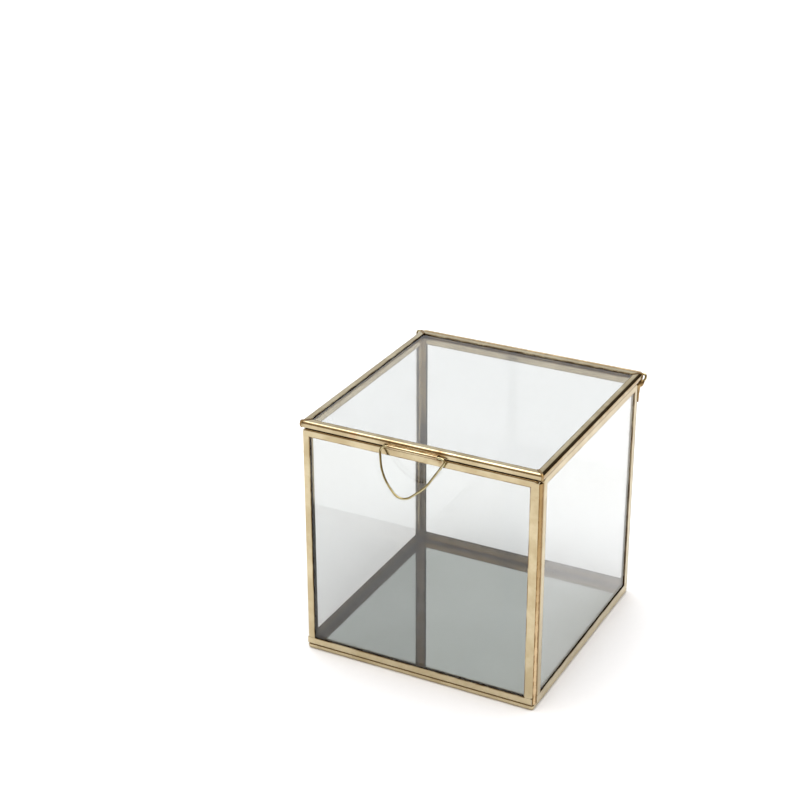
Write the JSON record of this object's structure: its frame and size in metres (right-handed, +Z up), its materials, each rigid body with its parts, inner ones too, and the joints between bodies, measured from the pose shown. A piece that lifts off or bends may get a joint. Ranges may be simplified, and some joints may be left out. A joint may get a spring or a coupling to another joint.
{
  "type": "keepsake box",
  "caption": "Square glass keepsake box with brass-edged panes, a mirror base, a lid on a wire-in-tube hinge and a swinging wire pull.",
  "frame": {"origin": "middle of the box's footprint, on the surface it stands on", "axes": "+Z up, +Y from the front with the pull to the back with the hinge, +X to the right seen from the front"},
  "size_m": [0.1028, 0.1096, 0.1003],
  "materials": {
    "brass": "polished",
    "solder": "satin",
    "glass": "gloss",
    "mirror": "polished"
  },
  "bodies": {
    "box": {"base_mirror": "mirror", "base_edging": "brass", "front_glass": "glass", "front_edging": "brass", "front_sill": "brass", "back_glass": "glass", "back_edging": "brass", "back_sill": "brass", "left_glass": "glass", "left_edging": "brass", "left_sill": "brass", "right_glass": "glass", "right_edging": "brass", "right_sill": "brass", "corner_solder_front_left": "solder", "corner_solder_front_right": "solder", "corner_solder_back_left": "solder", "corner_solder_back_right": "solder", "hinge_wire": "brass", "hinge_wire_solder": "solder"},
    "lid": {"lid_glass": "glass", "lid_edging_front": "brass", "lid_edging_back": "brass", "lid_edging_left": "brass", "lid_edging_right": "brass", "lid_corner_solder": "solder", "hinge_tube": "brass", "hinge_tube_solder": "solder", "pull_tube": "brass", "pull_tube_solder": "solder"},
    "pull": {"pull_wire": "brass"}
  },
  "joints": [
    {"name": "lid_hinge", "type": "hinge", "parent": "box", "child": "lid", "pos_m": [0.0005, 0.05122, 0.09905], "axis": [-1, 0, 0], "range_deg": [0, 180]},
    {"name": "pull_swing", "type": "hinge", "parent": "lid", "child": "pull", "pos_m": [-0.0012, -0.05107, 0.09795], "axis": [-1, 0, 0], "range_deg": [-20, 160]}
  ]
}
